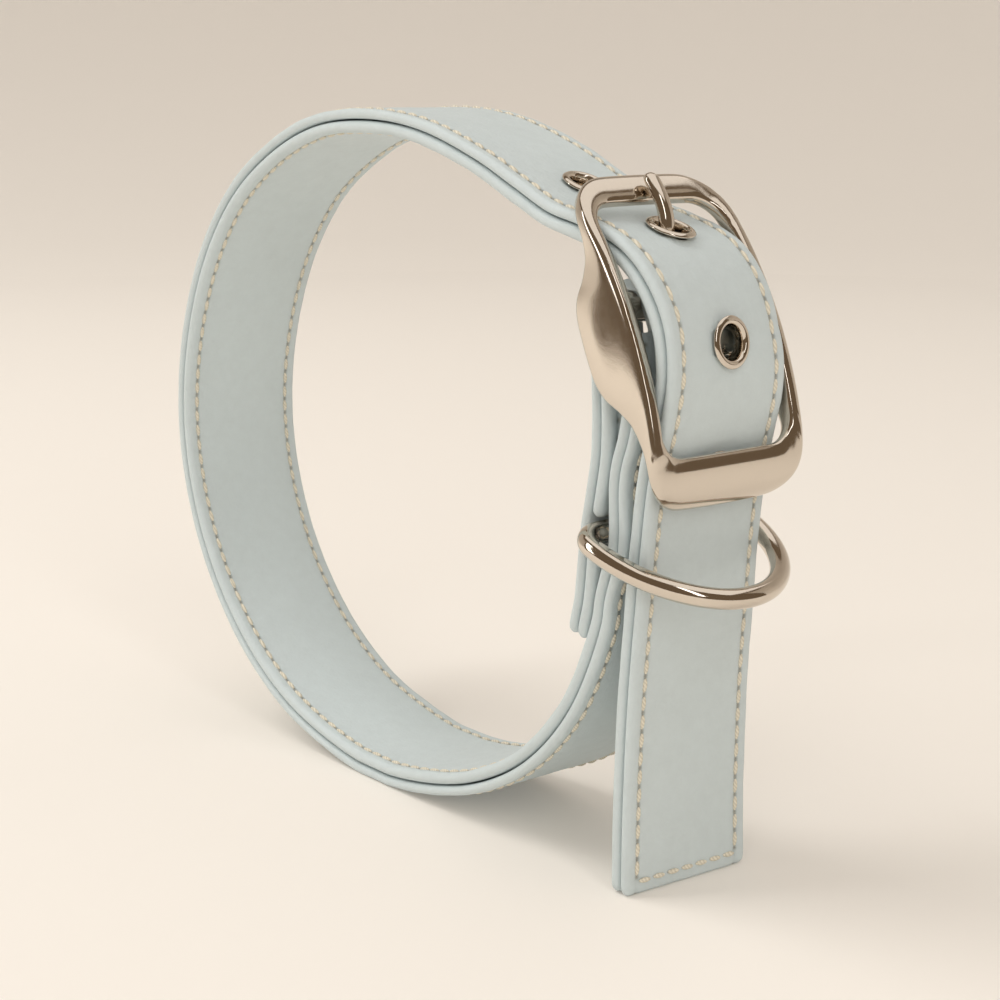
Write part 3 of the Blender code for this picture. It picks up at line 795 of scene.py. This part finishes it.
class COLLAR_OT_fittings(bpy.types.Operator):
    """Polish the buckle, prong, leash ring and eyelets"""

    bl_idname = "collar.fittings"
    bl_label = "Nickel fittings"

    def execute(self, context):
        cast = nickel_look("cast_nickel", 0.10)
        drawn = nickel_look("drawn_nickel", 0.06)
        polished_copy("buckle", "buckle_frame", "collar", cast, 3)
        polished_copy("prong", "buckle_prong", "collar", drawn, 3)
        polished_copy("d_ring", "leash_ring", "ring", drawn, 3)
        for number in range(1, 5):
            polished_copy(f"eyelet_{number}", f"set_eyelet_{number}", "collar", drawn, 2)
        return {"FINISHED"}


class COLLAR_OT_studio(bpy.types.Operator):
    """Lay the floor, hang the lights and set the camera"""

    bl_idname = "collar.studio"
    bl_label = "Studio"

    def execute(self, context):
        lay_floor()
        hang_lights()
        set_camera()
        return {"FINISHED"}


def paper_look(name, glow):
    """Matt cream paper with a faint glow of its own."""
    look = Look(name)
    fibre = look.noise(900.0, 3.0, 0.6)
    hue = rgba(colours().floor)
    look.surface({"Base Color": hue, "Roughness": 0.9, "Specular IOR Level": 0.1})
    look.surface({"Emission Color": hue, "Emission Strength": glow})
    look.bump(fibre, 0.00005, 0.2)
    return look.material


def curved_wall(name, reach, behind, material):
    """Half of the wall round the floor, sweeping up from its edge."""
    sweep, height, steps = 1.5, 0.8, 16
    bpy.ops.mesh.primitive_circle_add(vertices=96, radius=reach, fill_type="NOTHING")
    wall = bpy.context.active_object
    bpy.ops.object.mode_set(mode="EDIT")
    bpy.ops.mesh.select_mode(type="VERT")
    bpy.ops.mesh.select_all(action="DESELECT")
    bpy.ops.object.mode_set(mode="OBJECT")
    towards = Vector((math.sin(CAMERA_TURN), -math.cos(CAMERA_TURN), 0.0))
    for vertex in wall.data.vertices:
        vertex.select = (vertex.co.dot(towards) > 1e-4) == behind
    bpy.ops.object.mode_set(mode="EDIT")
    bpy.ops.mesh.delete(type="VERT")
    bpy.ops.mesh.select_all(action="SELECT")
    for k in range(1, steps + 1):
        before, after = (math.radians(90 * j / steps) for j in (k - 1, k))
        rise = sweep * (math.cos(before) - math.cos(after))
        grow = (reach + sweep * math.sin(after)) / (reach + sweep * math.sin(before))
        bpy.ops.mesh.extrude_edges_move(TRANSFORM_OT_translate={"value": (0.0, 0.0, rise)})
        bpy.ops.transform.resize(value=(grow, grow, 1.0), center_override=(0.0, 0.0, 0.0))
    bpy.ops.mesh.extrude_edges_move(TRANSFORM_OT_translate={"value": (0.0, 0.0, height)})
    bpy.ops.object.mode_set(mode="OBJECT")
    bpy.ops.object.shade_smooth()
    take(wall, name, [material])
    wall.visible_glossy = behind


def lay_floor():
    """A round floor with a curved wall all about it. Only the wall behind shows in the metal."""
    reach = 0.9
    bpy.ops.mesh.primitive_circle_add(vertices=96, radius=reach, fill_type="NGON")
    floor = bpy.context.active_object
    paper = paper_look("cream_paper", 0.12)
    take(floor, "floor", [paper])
    curved_wall("backdrop", reach, True, paper)
    curved_wall("room_front", reach, False, paper)


def softbox(name, place, size, power, colour, glossy):
    bpy.ops.object.light_add(type="AREA", location=place)
    light = bpy.context.active_object
    light.name = name
    light.data.shape = "RECTANGLE"
    light.data.size, light.data.size_y = size
    light.data.energy = power
    light.data.color = colour
    light.rotation_euler = (Vector((0.0, 0.0, 0.05)) - Vector(place)).to_track_quat("-Z", "Y").to_euler()
    light.visible_glossy = glossy
    light.visible_camera = False


def hang_lights():
    warm = (1.0, 0.98, 0.95)
    white = (1.0, 0.99, 0.98)
    softbox("key", (-0.75, -0.55, 1.15), (0.8, 0.8), 8.5, warm, False)
    softbox("fill", (0.95, -0.75, 0.75), (1.1, 1.1), 4.0, white, False)
    softbox("ceiling", (0.1, 0.25, 1.7), (2.2, 2.2), 13.0, warm, True)
    softbox("left_strip", (-0.45, -0.85, 0.55), (0.16, 0.9), 1.6, white, True)
    softbox("right_strip", (1.05, -0.25, 0.75), (0.16, 0.9), 1.4, white, True)
    world = bpy.data.worlds.new("studio_room")
    bpy.context.scene.world = world
    world.use_nodes = True
    background = world.node_tree.nodes["Background"]
    background.inputs["Color"].default_value = (0.16, 0.115, 0.075, 1.0)
    background.inputs["Strength"].default_value = 1.0
    bpy.context.scene.view_settings.view_transform = "Standard"
    bpy.context.scene.view_settings.look = "None"


def set_camera():
    """Camera at the photograph's distance and angle."""
    azimuth, elevation = CAMERA_TURN, math.radians(12.233)
    place = (Vector((283.0, -209.8, 125.96)) + CENTRE_SHIFT) * MM
    forward = Vector(
        (
            -math.sin(azimuth) * math.cos(elevation),
            math.cos(azimuth) * math.cos(elevation),
            -math.sin(elevation),
        )
    )
    bpy.ops.object.camera_add(location=place, rotation=forward.to_track_quat("-Z", "Y").to_euler())
    camera = bpy.context.active_object
    camera.data.sensor_width = 36.0
    camera.data.lens = 72.75
    camera.data.clip_start = 0.01
    bpy.context.scene.camera = camera


class COLLAR_PT_panel(bpy.types.Panel):
    """Sidebar panel with the collar's settings and steps"""

    bl_idname = "COLLAR_PT_panel"
    bl_label = "Dog collar"
    bl_space_type = "VIEW_3D"
    bl_region_type = "UI"
    bl_category = "Collar"

    def draw(self, context):
        for group in (context.scene.collar_sizes, context.scene.collar_colours):
            for name in group.__annotations__:
                self.layout.prop(group, name)
        for step in STEPS:
            self.layout.operator(step.bl_idname)


STEPS = (COLLAR_OT_leather, COLLAR_OT_sewing, COLLAR_OT_fittings, COLLAR_OT_studio)
CLASSES = (CollarSizes, CollarColours, *STEPS, COLLAR_PT_panel)


def register():
    for made in CLASSES:
        bpy.utils.register_class(made)
    bpy.types.Scene.collar_sizes = PointerProperty(type=CollarSizes)
    bpy.types.Scene.collar_colours = PointerProperty(type=CollarColours)


def unregister():
    del bpy.types.Scene.collar_colours
    del bpy.types.Scene.collar_sizes
    for made in reversed(CLASSES):
        bpy.utils.unregister_class(made)


def main():
    register()
    bpy.ops.collar.leather()
    bpy.ops.collar.sewing()
    bpy.ops.collar.fittings()
    bpy.ops.collar.studio()


if __name__ == "__main__":
    main()
